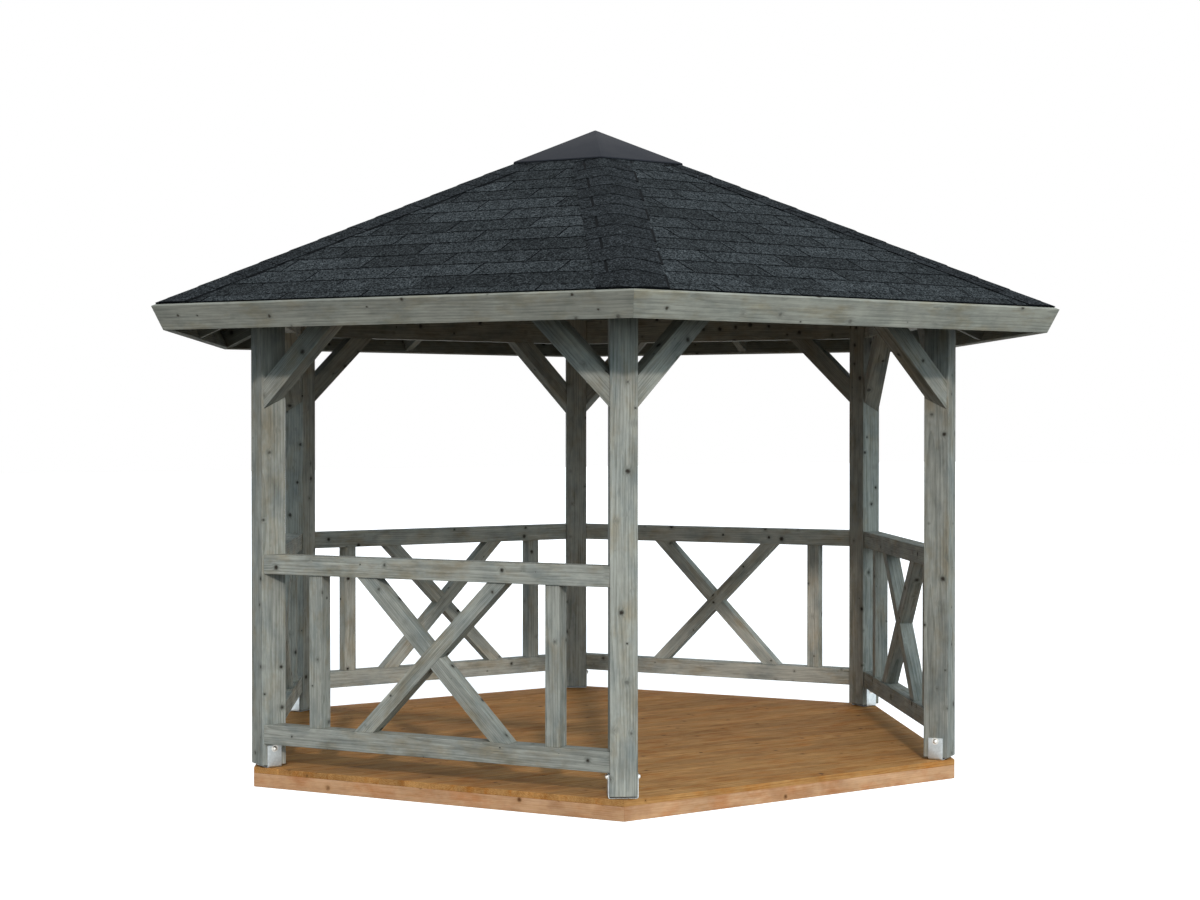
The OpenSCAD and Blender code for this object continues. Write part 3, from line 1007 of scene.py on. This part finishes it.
# Camera rays, and what shows in gloss or glass, see plain white. The floor adds the object's
# shadow to it. Light that bounces off them is much weaker, as from a lawn.
GROUND_REACH = 60
GLOW = 0.72
FILL_COLOUR = (0.80, 0.95, 1.06, 1)
FILL_STRENGTH = 0.58
WHITE = (1, 1, 1, 1)
# The camera stands by the front left corner, at eye level. Its angles are in degrees, upward from
# straight down and leftward from +Y.
EYE = (-5.819, -8.733, 1.687)
EYE_TILT = 89.297
EYE_TURN = -33.81
LENS = 60.72


def seen_directly(tree):
    """1 for camera, glossy and transmission rays."""
    ray = node(tree, "LightPath", output="Is Camera Ray").node.outputs
    either = node(tree, "Math", {0: ray["Is Camera Ray"], 1: ray["Is Glossy Ray"]},
                  operation="MAXIMUM")
    return node(tree, "Math", {0: either, 1: ray["Is Transmission Ray"]}, operation="MAXIMUM")


def stage_floor():
    """A plain pale floor."""
    mesh = bpy.data.meshes.new("stage_floor")
    corners = [(i * GROUND_REACH, j * GROUND_REACH, 0)
               for i, j in ((-1, -1), (1, -1), (1, 1), (-1, 1))]
    mesh.from_pydata(corners, [], [(0, 1, 2, 3)])
    ground = bpy.data.objects.new("stage_floor", mesh)
    bpy.context.scene.collection.objects.link(ground)
    material = bpy.data.materials.new("pale_floor")
    material.use_nodes = True
    tree = material.node_tree
    tree.nodes.remove(tree.nodes["Principled BSDF"])
    paint = node(tree, "BsdfDiffuse", {"Color": linear("#f2f2f2")})
    glow = node(tree, "Emission", {"Strength": GLOW})
    bright = node(tree, "AddShader", {0: paint, 1: glow})
    lawn = node(tree, "BsdfDiffuse", {"Color": linear("#5e5e5b")})
    whole = node(tree, "MixShader", {0: seen_directly(tree), 1: lawn, 2: bright})
    tree.links.new(whole, tree.nodes["Material Output"].inputs["Surface"])
    mesh.materials.append(material)


def sky():
    """A white surround to look at, and a cool even light from above."""
    world = bpy.data.worlds.new("sky")
    bpy.context.scene.world = world
    world.use_nodes = True
    tree = world.node_tree
    tree.nodes.remove(tree.nodes["Background"])
    fill = node(tree, "Background", {"Color": FILL_COLOUR, "Strength": FILL_STRENGTH})
    white = node(tree, "Background", {"Color": WHITE, "Strength": 1})
    both = node(tree, "MixShader", {0: seen_directly(tree), 1: fill, 2: white})
    tree.links.new(both, tree.nodes["World Output"].inputs["Surface"])


def far_light(name, azimuth, height, spread, energy, colour):
    """A light from far off. Angles are in degrees, and spread is how wide it stands in the sky."""
    lamp = bpy.data.lights.new(name, "SUN")
    lamp.energy = energy
    lamp.angle = math.radians(spread)
    lamp.color = colour
    light = bpy.data.objects.new(name, lamp)
    bpy.context.scene.collection.objects.link(light)
    azimuth, height = math.radians(azimuth), math.radians(height)
    toward = Vector((math.cos(azimuth) * math.cos(height), math.sin(azimuth) * math.cos(height),
                     math.sin(height)))
    light.rotation_euler = toward.to_track_quat("Z", "Y").to_euler()


def camera():
    """Looks at the gazebo from where a visitor would stand."""
    data = bpy.data.cameras.new("camera")
    data.sensor_width = 36
    data.lens = LENS
    data.clip_end = 200
    eye = bpy.data.objects.new("camera", data)
    bpy.context.scene.collection.objects.link(eye)
    eye.location = EYE
    eye.rotation_euler = (math.radians(EYE_TILT), 0, math.radians(EYE_TURN))
    bpy.context.scene.camera = eye


stage_floor()
sky()
far_light("key_light", azimuth=239.5, height=26, spread=3, energy=1.52, colour=(1.03, 0.955, 0.9))
far_light("wide_front_light", azimuth=282, height=20, spread=90, energy=1.5,
          colour=(0.82, 0.97, 1.03))
camera()
bpy.context.scene.view_settings.view_transform = "Standard"
